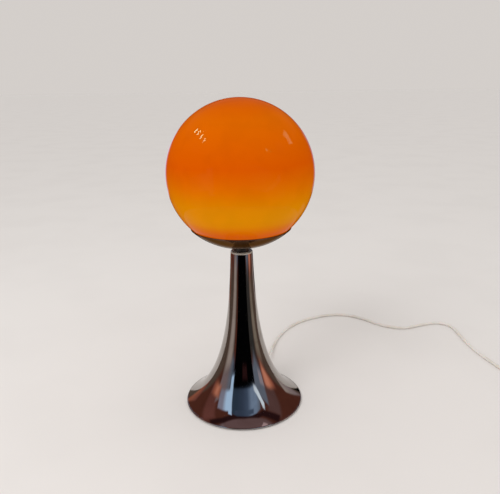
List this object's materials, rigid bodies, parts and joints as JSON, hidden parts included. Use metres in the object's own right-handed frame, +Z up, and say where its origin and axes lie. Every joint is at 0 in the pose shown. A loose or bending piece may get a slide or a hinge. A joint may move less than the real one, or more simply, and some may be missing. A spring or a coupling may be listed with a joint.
{
  "type": "table lamp",
  "caption": "Table lamp with a glass globe in a shallow metal dish, on a stem that flares into a round weighted base, with a mains cord, inline switch and plug.",
  "frame": {"origin": "centre of the base, on the surface the lamp stands on", "axes": "+Z up along the stem; the lamp's front faces -Y, and its cord leaves at the back and runs to +X"},
  "size_m": [0.66, 0.4274, 0.441],
  "materials": {
    "chrome": "polished, dark",
    "dark_metal": "satin",
    "steel": "zinc plated",
    "iron": "rough, painted black",
    "felt": "felted",
    "gasket": "soft",
    "orange_glass": "glossy, cased over opal",
    "bulb_glass": "frosted inside",
    "clear_glass": "clear",
    "black_glass": "glossy",
    "bulb_metal": "bright",
    "tungsten": "dull",
    "brass": "plain",
    "holder_plastic": "moulded",
    "porcelain": "glazed porcelain",
    "cord_white": "soft vinyl",
    "core_brown": "soft vinyl",
    "white_plastic": "moulded",
    "tie_plastic": "moulded"
  },
  "bodies": {
    "root": {"felt_pad": "felt", "base_plate": "steel", "plate_screws": "steel", "base_weight": "iron", "base_washer": "steel", "base_nut": "steel", "threaded_tube": "steel", "trumpet": "chrome", "stem_collar": "chrome", "inner_cord": "cord_white", "strain_relief": "white_plastic", "grip_lower": "holder_plastic", "grip_upper": "holder_plastic", "grip_screws": "steel", "neck_spacer": "dark_metal", "dish": "chrome", "dish_washer": "steel", "dish_nut": "steel", "seat_gasket": "gasket", "holder_cap": "holder_plastic", "holder_skirt": "holder_plastic", "holder_insert": "porcelain", "screw_shell": "brass", "centre_contact": "brass", "terminal_blocks": "brass", "terminal_screws": "steel", "lead_wires": "core_brown", "cord_stretch": "cord_white", "switch_base": "white_plastic", "switch_cover": "white_plastic", "switch_screws": "steel", "switch_contacts": "brass", "cord_tail": "cord_white", "cord_coil": "cord_white", "cord_tie": "tie_plastic", "plug_body": "white_plastic", "plug_pins": "steel"},
    "globe": {"globe": "orange_glass"},
    "bulb_contact": {"bulb_tip": "bulb_metal"},
    "bulb": {"bulb_insulator": "black_glass", "bulb_cap": "bulb_metal", "bulb_envelope": "bulb_glass", "bulb_mount": "clear_glass", "bulb_filament": "tungsten"},
    "rocker": {"rocker": "white_plastic"}
  },
  "joints": [
    {"name": "globe_lift", "type": "slide", "parent": "root", "child": "globe", "axis": [0, 0, 1], "range_m": [0, 0.16]},
    {"name": "bulb_rise", "type": "slide", "parent": "root", "child": "bulb_contact", "axis": [0, 0, 1], "range_m": [0, 0.0255]},
    {"name": "bulb_turn", "type": "hinge", "parent": "bulb_contact", "child": "bulb", "pos_m": [0, 0, 0.28], "axis": [0, 0, 1], "range_deg": [0, 2520]},
    {"name": "rocker_tilt", "type": "hinge", "parent": "root", "child": "rocker", "pos_m": [0.449, -0.034, 0.0143], "axis": [0.9744, 0.225, 0], "range_deg": [0, 14]}
  ],
  "couplings": [
    {"joint": "bulb_rise", "follows": "bulb_turn", "m_per_rad": 0.00057757}
  ]
}
